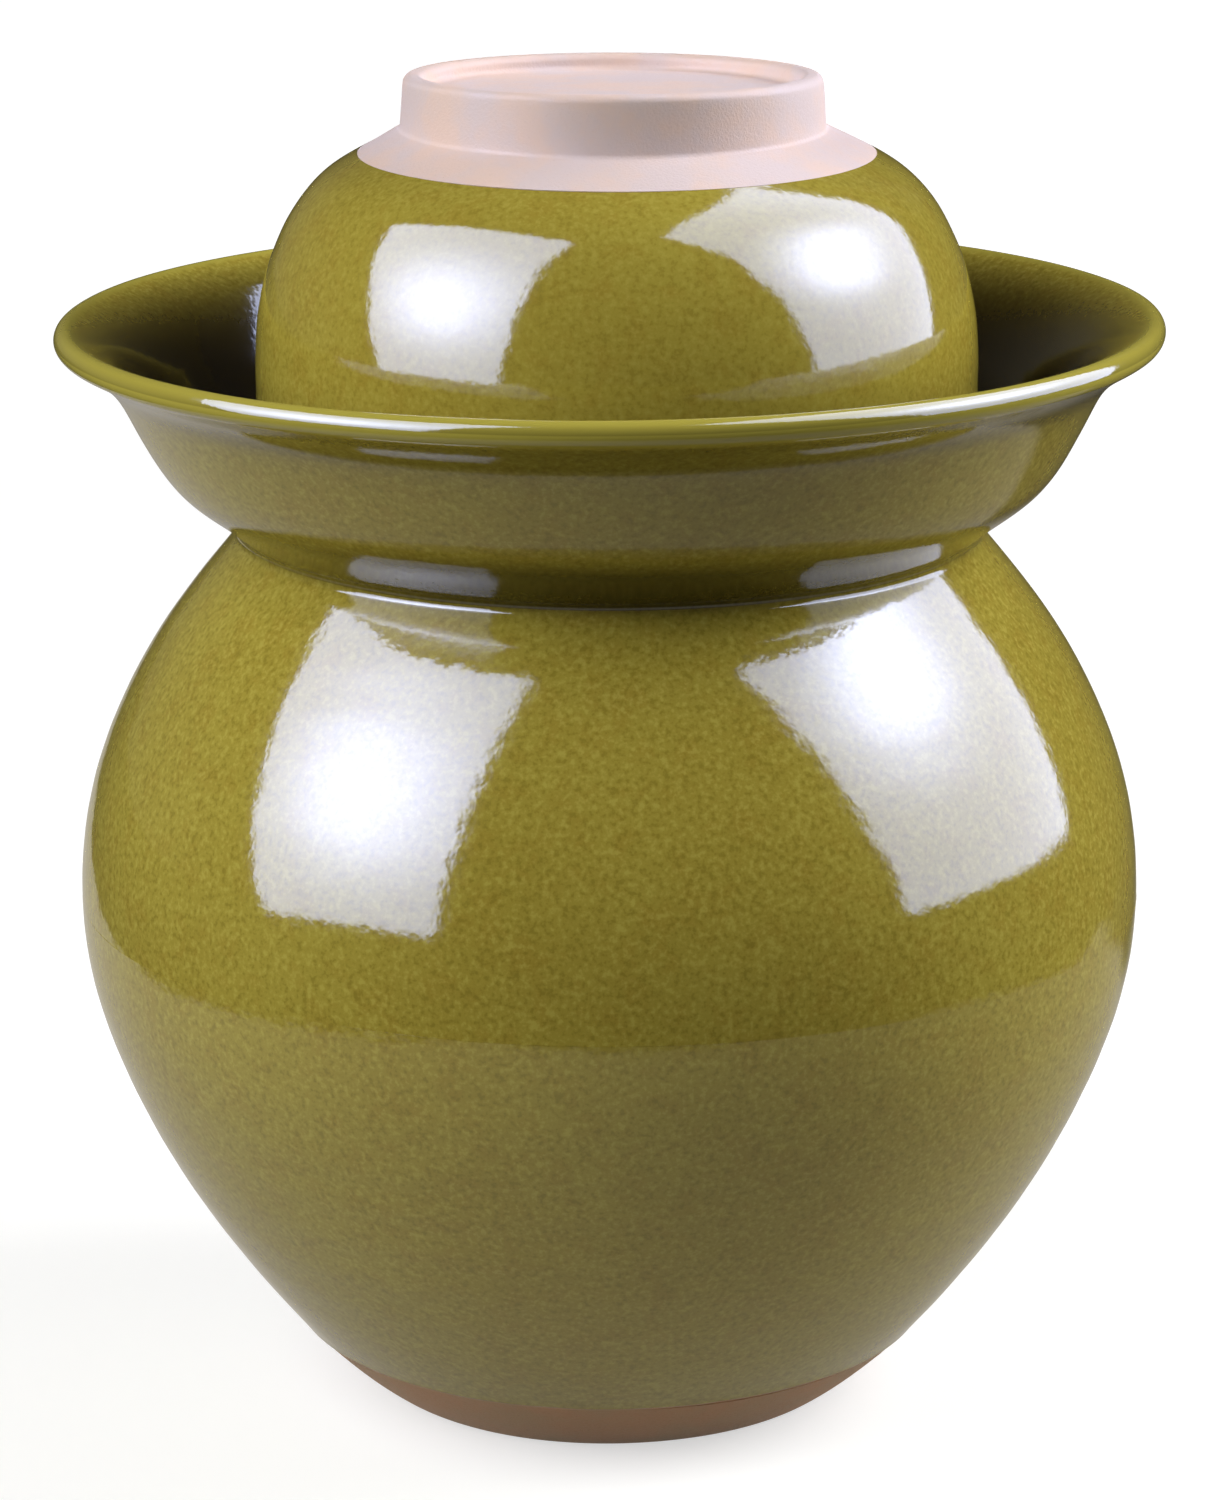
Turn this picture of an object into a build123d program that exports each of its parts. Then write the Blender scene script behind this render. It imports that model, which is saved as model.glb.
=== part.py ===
from build123d import *
import os

# Water seal pickle jar: a round-bellied stoneware jar with a dished channel around its neck, and a lid
# like a deep bowl turned upside down, whose rim stands in the channel. Water in the channel keeps air
# out and lets gas bubble out. The jar is thrown in sections that are joined before firing, so each
# section is a solid of its own that meets the next one face to face. The lid is the one loose piece.
# Millimetres, +Z up, origin at the centre of the base.

# Jar body
foot_radius = 43.2
foot_edge_round = 5.0
foot_height = 12.6
belly_radius = 96.1
belly_height = 93.0
shoulder_rise = 67.0
body_wall = 5.2
floor_thickness = 7.0
floor_flat_radius = 28.0

# Neck
mouth_radius = 44.0
neck_wall = 6.0
neck_over_lip = 1.8
neck_root_thickness = 4.6
neck_root_round = 4.0

# Water channel
channel_base = 8.0
channel_wall = 4.8
channel_depth = 30.3
channel_floor_spare = 1.6
lip_reach = 32.3
lip_round = 2.25
lip_angle = 28.0
dish_foot_angle = 40.0

# Lid
lid_room = 9.3
lid_wall = 5.0
lid_seat_gap = 0.3
lid_height = 72.8
lid_side_height = 21.7
lid_shoulder_spare = 1.9
crown_thickness = 6.2
bare_crown_drop = 4.4

# Foot ring on top of the lid
ring_radius = 37.6
ring_height = 9.5
ring_draw_in = 0.7
ring_lip = 3.6
ring_edge_round = 1.6
ring_root_round = 1.2
recess_depth = 3.2

# Largest share of a thin wall that one edge rounding takes
round_share = 0.45

# Heights from the base up
shoulder_height = belly_height + shoulder_rise
channel_floor = shoulder_height + channel_base
lip_top = channel_floor + channel_depth
neck_top = lip_top + neck_over_lip
lid_rim = channel_floor + lid_seat_gap
lid_side_top = lid_rim + lid_side_height
lid_top = lid_rim + lid_height
ring_base = lid_top - ring_height
bare_crown_base = ring_base - bare_crown_drop
recess_floor = lid_top - recess_depth
crown_inside = recess_floor - crown_thickness

# Radii from the mouth out
neck_radius = mouth_radius + neck_wall
lid_inner_radius = neck_radius + lid_room
lid_radius = lid_inner_radius + lid_wall
shoulder_radius = lid_radius + lid_shoulder_spare
lip_radius = shoulder_radius + lip_reach
ring_top_radius = ring_radius - ring_draw_in
recess_radius = ring_top_radius - ring_lip
section_reach = belly_radius + lip_radius
ring_round = min(ring_edge_round, ring_lip * round_share)
recess_round = min(ring_round, recess_depth * round_share)

# Outline points as shares of the way across and of the way up
lower_body_shares = [(0.26, 0.129), (0.464, 0.269), (0.659, 0.43), (0.854, 0.645), (0.976, 0.86)]
upper_body_shares = [(0.095, 0.328), (0.261, 0.522), (0.482, 0.701), (0.724, 0.851)]
dish_shares = [(0.139, 0.109), (0.345, 0.25), (0.487, 0.42), (0.602, 0.617), (0.712, 0.785)]
lid_shares = [(0.068, 0.361), (0.236, 0.625), (0.491, 0.817), (0.749, 0.913)]

# Places along an outside curve, as shares of its length, where the inside lies one wall away
body_inside_shares = [0.24, 0.36, 0.5, 0.64, 0.77, 0.9, 1.0]
dish_inside_shares = [0.86, 0.64, 0.46, 0.34]
lid_inside_shares = [0.9, 0.65, 0.4, 0.2]

# Directions in a section
outward = Vector(1, 0)
upward = Vector(0, 1)
quarter_turn = 90


def between(start, end, shares):
    """Points at pairs of shares of the way from start to end, across and up."""
    width = end[0] - start[0]
    rise = end[1] - start[1]
    return [(start[0] + width * across, start[1] + rise * up) for across, up in shares]


def heading(direction, turn):
    """A direction in a section, turned to the left by some degrees."""
    return direction.rotate(Axis.Z, turn)


def beside(curve, share, distance):
    """The point to the left of a curve's run, a distance away, at a share of its length."""
    return curve @ share + heading(curve % share, quarter_turn) * distance


def round_corner(sketch, corner, radius):
    """Round the corner of a section that lies nearest to a point."""
    fillet(sketch.vertices().sort_by_distance(corner)[0], radius)


def keep_band(low, high):
    """Keep what the current sketch holds between two heights."""
    with Locations((section_reach / 2, (low + high) / 2)):
        Rectangle(section_reach, high - low, mode=Mode.INTERSECT)


# Section of the whole jar wall, on one side of the axis
foot_corner = (foot_radius, 0)
widest = (belly_radius, belly_height)
shoulder_joint = (shoulder_radius, shoulder_height)
lip_along = heading(outward, lip_angle)
lip_across = heading(upward, lip_angle)
lip_middle = Vector(lip_radius - lip_round, lip_top - lip_round)
lip_under = lip_middle - lip_across * lip_round
lip_over = lip_middle + lip_across * lip_round
channel_corner = (shoulder_radius + channel_floor_spare, channel_floor)
neck_rim_round = neck_wall / 2
neck_root = (mouth_radius, channel_floor - neck_root_thickness)

with BuildSketch(Plane.XZ) as jar_section:
    with BuildLine():
        Line((0, 0), foot_corner)
        body_outside = Spline(
            foot_corner,
            *between(foot_corner, widest, lower_body_shares),
            widest,
            *between(widest, shoulder_joint, upper_body_shares),
            shoulder_joint,
        )
        dish_outside = Spline(
            shoulder_joint,
            *between(shoulder_joint, (lip_radius, lip_middle.Y), dish_shares),
            lip_under,
            tangents=[heading(outward, dish_foot_angle), lip_along],
        )
        ThreePointArc(lip_under, lip_middle + lip_along * lip_round, lip_over)
        Spline(
            lip_over,
            *[beside(dish_outside, share, channel_wall) for share in dish_inside_shares],
            channel_corner,
            tangents=[-lip_along, -outward],
        )
        Line(channel_corner, (neck_radius, channel_floor))
        Line((neck_radius, channel_floor), (neck_radius, neck_top - neck_rim_round))
        ThreePointArc(
            (neck_radius, neck_top - neck_rim_round),
            (neck_radius - neck_rim_round, neck_top),
            (mouth_radius, neck_top - neck_rim_round),
        )
        Line((mouth_radius, neck_top - neck_rim_round), neck_root)
        Spline(
            (floor_flat_radius, floor_thickness),
            *[beside(body_outside, share, body_wall) for share in body_inside_shares],
            neck_root,
            tangents=[outward, -outward],
        )
        Line((floor_flat_radius, floor_thickness), (0, floor_thickness))
        Line((0, floor_thickness), (0, 0))
    make_face()
    round_corner(jar_section, foot_corner, foot_edge_round)
    round_corner(jar_section, neck_root, neck_root_round)

# Section of the whole lid, on one side of the axis
lid_rim_round = lid_wall / 2
side_top = (lid_radius, lid_side_top)
ring_root = (ring_radius, ring_base)
inside_top = (lid_inner_radius, lid_side_top)

with BuildSketch(Plane.XZ) as lid_section:
    with BuildLine():
        Line((lid_radius, lid_rim + lid_rim_round), side_top)
        crown_outside = Spline(
            side_top,
            *between(side_top, ring_root, lid_shares),
            ring_root,
            tangents=[upward, heading(-outward, -lip_angle)],
        )
        Polyline(
            ring_root,
            (ring_top_radius, lid_top),
            (recess_radius, lid_top),
            (recess_radius, recess_floor),
            (0, recess_floor),
            (0, crown_inside),
        )
        Spline(
            (0, crown_inside),
            *[beside(crown_outside, share, lid_wall) for share in lid_inside_shares],
            inside_top,
            tangents=[outward, -upward],
        )
        Line(inside_top, (lid_inner_radius, lid_rim + lid_rim_round))
        ThreePointArc(
            (lid_inner_radius, lid_rim + lid_rim_round),
            (lid_inner_radius + lid_rim_round, lid_rim),
            (lid_radius, lid_rim + lid_rim_round),
        )
    make_face()
    round_corner(lid_section, (ring_top_radius, lid_top), ring_round)
    round_corner(lid_section, (recess_radius, lid_top), recess_round)
    round_corner(lid_section, (recess_radius, recess_floor), recess_round)
    round_corner(lid_section, ring_root, ring_root_round)


# Bare clay foot and the floor of the jar
with BuildPart() as jar_foot:
    with BuildSketch(Plane.XZ):
        add(jar_section.sketch_local)
        keep_band(0, foot_height)
    revolve(axis=Axis.Z)
jar_foot.part.label = "jar_foot"

# Belly from the foot to the widest circle
with BuildPart() as lower_belly:
    with BuildSketch(Plane.XZ):
        add(jar_section.sketch_local)
        keep_band(foot_height, belly_height)
    revolve(axis=Axis.Z)
lower_belly.part.label = "lower_belly"

# Shoulder from the widest circle to the channel
with BuildPart() as shoulder:
    with BuildSketch(Plane.XZ):
        add(jar_section.sketch_local)
        keep_band(belly_height, shoulder_height)
    revolve(axis=Axis.Z)
shoulder.part.label = "shoulder"

# Channel floor, its dished wall and the flared lip
with BuildPart() as water_channel:
    with BuildSketch(Plane.XZ):
        add(jar_section.sketch_local)
        keep_band(shoulder_height, neck_top)
        with Locations((neck_radius / 2, (channel_floor + neck_top) / 2)):
            Rectangle(neck_radius, neck_top - channel_floor, mode=Mode.SUBTRACT)
    revolve(axis=Axis.Z)
water_channel.part.label = "water_channel"

# Neck, a straight collar that stands on the channel floor around the mouth
with BuildPart() as neck:
    with BuildSketch(Plane.XZ):
        with Locations((neck_radius / 2, (channel_floor + neck_top) / 2)):
            Rectangle(neck_radius, neck_top - channel_floor)
        add(jar_section.sketch_local, mode=Mode.INTERSECT)
    revolve(axis=Axis.Z)
neck.part.label = "neck"

# Glazed bowl of the lid, whose rim stands in the channel
with BuildPart() as lid_bowl:
    with BuildSketch(Plane.XZ):
        add(lid_section.sketch_local)
        keep_band(lid_rim, bare_crown_base)
    revolve(axis=Axis.Z)
lid_bowl.part.label = "lid_bowl"

# Bare clay crown of the lid with its foot ring
with BuildPart() as lid_ring:
    with BuildSketch(Plane.XZ):
        add(lid_section.sketch_local)
        keep_band(bare_crown_base, lid_top)
    revolve(axis=Axis.Z)
lid_ring.part.label = "lid_ring"

os.makedirs("parts", exist_ok=True)
for piece in (jar_foot, lower_belly, shoulder, water_channel, neck, lid_bowl, lid_ring):
    export_step(piece.part, f"parts/{piece.part.label}.step")
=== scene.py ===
# %% [markdown]
# # A water seal pickle jar
#
# This is a stoneware jar from a potter's wheel. Its round belly and the dish around its neck are
# covered in a glossy olive glaze, its foot is bare clay, and its lid is a deep glazed bowl turned
# upside down, with a bare crown and a foot ring on top. Water in the dish seals the lid.
#
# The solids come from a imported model, with every node where it belongs. We keep their sizes and
# give each of them the surface that a thrown and glazed pot has.

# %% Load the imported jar
import math

import bmesh
import bpy
import numpy as np
from mathutils import Euler, Matrix, Vector


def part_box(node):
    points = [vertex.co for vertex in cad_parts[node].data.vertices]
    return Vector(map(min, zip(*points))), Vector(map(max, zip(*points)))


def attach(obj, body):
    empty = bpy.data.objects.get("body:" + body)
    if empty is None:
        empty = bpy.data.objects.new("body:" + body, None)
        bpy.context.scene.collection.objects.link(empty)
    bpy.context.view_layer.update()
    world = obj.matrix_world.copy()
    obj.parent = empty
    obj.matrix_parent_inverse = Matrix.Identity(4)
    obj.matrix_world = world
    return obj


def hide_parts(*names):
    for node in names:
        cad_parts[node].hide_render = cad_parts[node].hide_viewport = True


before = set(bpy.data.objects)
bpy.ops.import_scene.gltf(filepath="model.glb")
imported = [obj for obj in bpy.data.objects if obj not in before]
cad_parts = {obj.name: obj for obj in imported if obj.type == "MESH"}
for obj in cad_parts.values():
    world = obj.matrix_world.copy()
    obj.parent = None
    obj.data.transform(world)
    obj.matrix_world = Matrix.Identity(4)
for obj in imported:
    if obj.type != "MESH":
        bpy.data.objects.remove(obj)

bpy.context.view_layer.update()
mm = 0.001

# %% [markdown]
# ## The camera
#
# The jar stands at the origin. The camera looks down on it a little, from nine tenths of a metre in
# front, through a long lens, so that the rim of the dish is an ellipse and the belly hardly tapers.
# We set it first, so that every later look is through the same eye.

# %% Camera
camera_place = (0, -0.9, 0.361)
look_down = 15.12
focal_length = 122.95
film_width = 36

camera = bpy.data.objects.new("camera", bpy.data.cameras.new("camera"))
camera.location = camera_place
camera.rotation_euler = Euler((math.radians(90 - look_down), 0, 0))
camera.data.lens = focal_length
camera.data.sensor_width = film_width
camera.data.sensor_fit = "AUTO"
bpy.context.scene.collection.objects.link(camera)
bpy.context.scene.camera = camera
print("camera looks down", look_down, "degrees")

# %% [markdown]
# ## Reading the section of a turned piece
#
# A turned piece is one outline, swept around the axis. The solid's mesh already holds that outline:
# its vertices on the half plane y = 0. We read them in order and keep the corners. Between the
# corners we lay a smooth curve through them, with many more points, because a glossy glaze shows
# every flat facet in its reflections.

# %% Outline of a node
weld = 1e-6
corner_turn = 35
joint_turn = 18
straight_ratio = 2.5
outline_step = 0.8 * mm
finest_turn = 7
smoothing_passes = 6


def section_outline(node):
    """Points (radius, height) around the section of a turned node, anticlockwise."""
    mesh = bmesh.new()
    mesh.from_mesh(node.data)
    bmesh.ops.remove_doubles(mesh, verts=mesh.verts, dist=weld)
    beside = {v: [] for v in mesh.verts if abs(v.co.y) < weld and v.co.x > -weld}
    for edge in mesh.edges:
        first, second = edge.verts
        if first in beside and second in beside:
            beside[first].append(second)
            beside[second].append(first)
    ends = [v for v in beside if len(beside[v]) == 1] or list(beside)
    walk = [min(ends, key=lambda v: (round(v.co.z, 5), v.co.x))]
    while True:
        onward = [v for v in beside[walk[-1]] if v not in walk[-2:]]
        if not onward or onward[0] is walk[0]:
            break
        walk.append(onward[0])
    points = np.array([(v.co.x, v.co.z) for v in walk])
    closed = len(beside[walk[0]]) == 2
    mesh.free()
    if not closed:
        ends = [(0, points[0, 1]), (0, points[-1, 1])]
        points = np.vstack([ends[:1], points, ends[1:]])
        points = points[np.append(True, np.linalg.norm(np.diff(points, axis=0), axis=1) > weld)]
    around = np.roll(points, -1, axis=0)
    if np.sum(points[:, 0] * around[:, 1] - around[:, 0] * points[:, 1]) < 0:
        points = np.roll(points[::-1], 1, axis=0) if closed else points[::-1]
    return np.vstack([points, points[:1]]) if closed else points


def unit(vectors):
    """Vectors made one long."""
    return vectors / np.maximum(np.linalg.norm(vectors, axis=-1, keepdims=True), 1e-12)


def smooth_run(run, step):
    """Points along a smooth curve through one run of an outline, between two corners."""
    chords = np.diff(run, axis=0)
    lengths = np.linalg.norm(chords, axis=1)
    ways = unit(chords)
    tangents = np.zeros_like(run)
    tangents[0], tangents[-1] = ways[0], ways[-1]
    for i in range(1, len(run) - 1):
        before, after = lengths[i - 1], lengths[i]
        if before > straight_ratio * after:
            tangents[i] = ways[i - 1]
        elif after > straight_ratio * before:
            tangents[i] = ways[i]
        else:
            tangents[i] = ways[i - 1] * after + ways[i] * before
    tangents = unit(tangents)
    if len(run) > 2:
        tangents[0] = 2 * (tangents[1] @ ways[0]) * ways[0] - tangents[1]
        tangents[-1] = 2 * (tangents[-2] @ ways[-1]) * ways[-1] - tangents[-2]
    points = [run[:1]]
    for i, length in enumerate(lengths):
        turn = math.degrees(math.acos(min(1, max(-1, float(tangents[i] @ tangents[i + 1])))))
        count = max(math.ceil(length / step), math.ceil(turn / finest_turn))
        t = (np.arange(1, count + 1) / count)[:, None]
        points.append(
            run[i] * (2 * t**3 - 3 * t**2 + 1) + tangents[i] * length * (t**3 - 2 * t**2 + t)
            + run[i + 1] * (3 * t**2 - 2 * t**3) + tangents[i + 1] * length * (t**3 - t**2)
        )
    points = np.vstack(points)
    for _ in range(smoothing_passes):
        points[1:-1] = (points[:-2] + 2 * points[1:-1] + points[2:]) / 4
    return points


def is_flat(run):
    """Whether a run is level: the base, the channel floor or a joint face."""
    return np.ptp(run[:, 1]) < weld


def runs_of(outline):
    """An outline cut into its runs at its corners and at the ends of its joint faces."""
    chords = np.diff(outline, axis=0)
    ways = unit(chords)
    turns = np.degrees(np.arccos(np.clip(np.sum(ways[:-1] * ways[1:], axis=1), -1, 1)))
    level = np.abs(chords[:, 1]) < weld
    limits = np.where(level[:-1] != level[1:], joint_turn, corner_turn)
    cuts = [0, *(np.flatnonzero(turns > limits) + 1), len(outline) - 1]
    return [outline[a:b + 1] for a, b in zip(cuts[:-1], cuts[1:])]


outlines = {name: runs_of(section_outline(node)) for name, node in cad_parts.items()}
for name, runs in outlines.items():
    print(name, "runs:", [len(run) for run in runs], "flat:", [bool(is_flat(run)) for run in runs])

# %% [markdown]
# ## What the outline knows about the glaze
#
# Glaze is a glass that melts and creeps. It is thin where the clay turns outwards, as along the lip,
# and gathers where the clay turns inwards, as in the crease under the dish. It stops in a small bead
# a little way above the bare foot and below the bare crown. We work these out on the outline, where
# they are simple sums, and keep them with each of its points: where it lies, which way is outward,
# whether a hand could move it, how far the border of the glaze is, and how sharply the wall bends.

# %% Outline points with what they carry
glaze_borders = {"lower_belly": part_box("lower_belly")[0].z, "lid_bowl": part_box("lid_bowl")[1].z}
crease_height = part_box("shoulder")[1].z
crease_round = 1.7 * mm
border_reach = 4 * mm
border_step = 0.2 * mm
bend_blur = 1.2 * mm
least_crease_radius = 60 * mm
far_away = 1.0


def fill_crease(points):
    """Points near the crease under the dish, moved out to the round of glaze that fills it."""
    above = np.abs(points[:, 1] - crease_height)
    hollow = crease_round * math.sqrt(2) - np.sqrt(np.maximum(crease_round**2 - above**2, 0)) - above
    points[:, 0] += np.where(above < crease_round / math.sqrt(2), np.maximum(hollow, 0), 0)


def meets_crease(points):
    """Whether an outside run begins or ends in the crease under the dish."""
    return np.abs(points[:, 1] - crease_height).min() < weld and points[:, 0].max() > least_crease_radius


def add_rows(points, near):
    """Points of a run with short steps where near is true."""
    rows = [points[:1]]
    for i in range(1, len(points)):
        length = np.linalg.norm(points[i] - points[i - 1])
        parts = math.ceil(length / border_step) if near[i] or near[i - 1] else 1
        t = (np.arange(1, parts + 1) / parts)[:, None]
        rows.append(points[i - 1] * (1 - t) + points[i] * t)
    return np.vstack(rows)


def bend_of(points, along):
    """How sharply a run turns at each point, blurred a little; above zero where it turns outwards."""
    ways = unit(np.gradient(points, axis=0))
    angles = np.unwrap(np.arctan2(ways[:, 1], ways[:, 0]))
    bend = np.gradient(angles, along)
    spread = np.exp(-((along[:, None] - along) / bend_blur) ** 2 / 2) * np.gradient(along)
    return spread @ bend / spread.sum(axis=1)


def dense_outline(name):
    """All points of a piece's outline, with what each of them carries."""
    parts = []
    for run in outlines[name]:
        flat = is_flat(run)
        points = smooth_run(run, outline_step)
        outside = not flat and run[:, 0].mean() > outlines[name][0][:, 0].mean()
        if name in glaze_borders and outside:
            points = add_rows(points, np.abs(points[:, 1] - glaze_borders[name]) < border_reach)
        if not flat and meets_crease(points):
            points = add_rows(points, np.abs(points[:, 1] - crease_height) < border_reach)
            fill_crease(points)
        along = np.concatenate([[0], np.cumsum(np.linalg.norm(np.diff(points, axis=0), axis=1))])
        ways = unit(np.gradient(points, along, axis=0))
        border = np.full(len(points), far_away)
        if name in glaze_borders and outside:
            border = np.abs(along - along[np.abs(points[:, 1] - glaze_borders[name]).argmin()])
        parts.append({
            "place": points,
            "outward": np.column_stack([ways[:, 1], -ways[:, 0]]),
            "free": np.full(len(points), 0.0 if flat else 1.0),
            "border": border,
            "bend": bend_of(points, along),
        })
    return {key: np.concatenate([part[key] for part in parts]) for key in parts[0]}


dense = {name: dense_outline(name) for name in outlines}
for name, outline in dense.items():
    print(name, "has", len(outline["place"]), "rows and bends per mm from",
          round(outline["bend"].min() * mm, 2), "to", round(outline["bend"].max() * mm, 2))

# %% [markdown]
# ## Small helpers for node trees
#
# A node tree is easier to read as a few sums than as a page of sockets. `put` makes a node, gives it
# its settings and sets its inputs in order, wiring those that come from other nodes.

# %% Node helpers


def put(tree, kind, *values, **settings):
    """A new node with its settings, and its inputs set in order or wired to other outputs."""
    node = tree.nodes.new(kind)
    for setting, value in settings.items():
        setattr(node, setting, value)
    for socket, value in zip([s for s in node.inputs if s.enabled], values):
        if isinstance(value, bpy.types.NodeSocket):
            tree.links.new(value, socket)
        elif value is not None:
            socket.default_value = value
    return node


def calc(tree, operation, *values):
    """The result of a sum on numbers."""
    return put(tree, "ShaderNodeMath", *values, operation=operation).outputs[0]


def ease(tree, value, start, end, low=0.0, high=1.0):
    """A value eased from low to high while it goes from start to end."""
    node = put(tree, "ShaderNodeMapRange", value, start, end, low, high, interpolation_type="SMOOTHSTEP")
    return node.outputs[0]


def inputs_of(tree, sockets):
    """Named inputs of a tree with their first values, and the node that hands them on."""
    for name, kind, value in sockets:
        socket = tree.interface.new_socket(name, in_out="INPUT", socket_type="NodeSocket" + kind)
        if value is not None:
            socket.default_value = value
    return put(tree, "NodeGroupInput").outputs


# %% [markdown]
# ## The wheel
#
# Every piece of this jar is thrown, so one rule makes them all: each row of the outline goes once
# around the axis. A Geometry Nodes tree does it. It lays out a grid, looks up the outline row by row
# and bends the grid into the piece.
#
# A potter's hands are in it too: faint spiral rings, walls a hair uneven, a rim that leans half a
# degree, and a lid that was set down a millimetre off the middle. Each of these is an input.

# %% Inputs of the wheel
steps_around = 256
wheel_inputs = (
    ("Outline", "Geometry", None),
    ("Steps Around", "Int", steps_around),
    ("Outline Rows", "Int", 2),
    ("Unevenness", "Float", 0.0),
    ("Ring Depth", "Float", 0.0),
    ("Ring Spacing", "Float", 0.01),
    ("Bead Height", "Float", 0.0),
    ("Border Wave", "Float", 0.0),
    ("Border Slant", "Float", 0.0),
    ("Pool Swing", "Float", 0.0),
    ("Lean", "Vector", (0, 0, 0)),
    ("Lean From", "Float", 0.0),
    ("Lean To", "Float", 1.0),
    ("Shift Below", "Vector", (0, 0, 0)),
    ("Shift Above", "Vector", (0, 0, 0)),
    ("Shift From", "Float", 0.0),
    ("Shift To", "Float", 1.0),
    ("Seed", "Float", 1.0),
    ("Finish", "Material", None),
)
print("the wheel has", len(wheel_inputs), "inputs")

# %% [markdown]
# ### What hands and glaze do to a point
#
# Three small parts of the tree come first. One moves a point outwards by the throwing rings and the
# uneven wall. One finds the ragged border of the glaze and the bead along it. One leans the piece and
# sets it down off the middle. Noise that is looked up at the thrown point drives them, so a mark
# stays where it is on the pot when the number of steps changes.

# %% Parts of the wheel
uneven_scale = 16
wander_scale, wander = 25, 9
ring_patch_scale, ring_patch_edge = 12, 0.2
wave_scale, wave_detail, wave_lift = 70, 3, 0.4
bead_rise = 0.5 * mm
bead_fall = 1.5 * mm


def marks_of_hands(tree, given, noise, angle, height):
    """How far the uneven wall and the spiral rings move a point outwards."""
    uneven = calc(tree, "MULTIPLY", noise(uneven_scale), given["Unevenness"])
    turns = calc(tree, "MULTIPLY", calc(tree, "DIVIDE", height, given["Ring Spacing"]), math.tau)
    wandering = calc(tree, "MULTIPLY", noise(wander_scale), wander)
    spiral = calc(tree, "ADD", calc(tree, "ADD", turns, angle), wandering)
    rings = calc(tree, "MULTIPLY", calc(tree, "SINE", spiral), given["Ring Depth"])
    patches = ease(tree, noise(ring_patch_scale), -ring_patch_edge, ring_patch_edge)
    rings = calc(tree, "MULTIPLY", rings, patches)
    return calc(tree, "ADD", uneven, rings)


def glaze_border(tree, given, noise, border, cosine):
    """How far a point lies past the ragged border of the glaze, and the height of the bead there."""
    slant = calc(tree, "MULTIPLY", calc(tree, "ADD", cosine, 1), given["Border Slant"])
    wave = calc(tree, "ADD", noise(wave_scale, wave_detail), wave_lift)
    wave = calc(tree, "MULTIPLY", wave, given["Border Wave"])
    reach = calc(tree, "SUBTRACT", border, calc(tree, "ADD", slant, wave))
    fade = calc(tree, "EXPONENT", calc(tree, "DIVIDE", reach, -bead_fall))
    bead = calc(tree, "MULTIPLY", ease(tree, reach, 0, bead_rise), fade)
    return reach, calc(tree, "MULTIPLY", bead, given["Bead Height"])


def set_down(tree, given, point, height):
    """Where a point goes as the piece leans and is set down off the middle."""
    tilt = put(tree, "ShaderNodeVectorMath", point, given["Lean"], operation="DOT_PRODUCT").outputs["Value"]
    tilt = calc(tree, "MULTIPLY", tilt, ease(tree, height, given["Lean From"], given["Lean To"]))
    lift = put(tree, "ShaderNodeCombineXYZ", 0, 0, tilt).outputs[0]
    weight = ease(tree, height, given["Shift From"], given["Shift To"])
    shift = put(tree, "ShaderNodeMix", weight, given["Shift Below"], given["Shift Above"], data_type="VECTOR")
    placed = put(tree, "ShaderNodeVectorMath", point, lift, operation="ADD").outputs[0]
    return put(tree, "ShaderNodeVectorMath", placed, shift.outputs[1], operation="ADD").outputs[0]


# %% [markdown]
# ### The whole wheel
#
# The grid's two directions become the way around and the row of the outline. Each row is looked up
# on the outline, bent around the axis, marked, and set down. The values that the finishes need are
# stored on the way, the seam is welded, and the finish goes on.

# %% The wheel as a node tree


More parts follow.
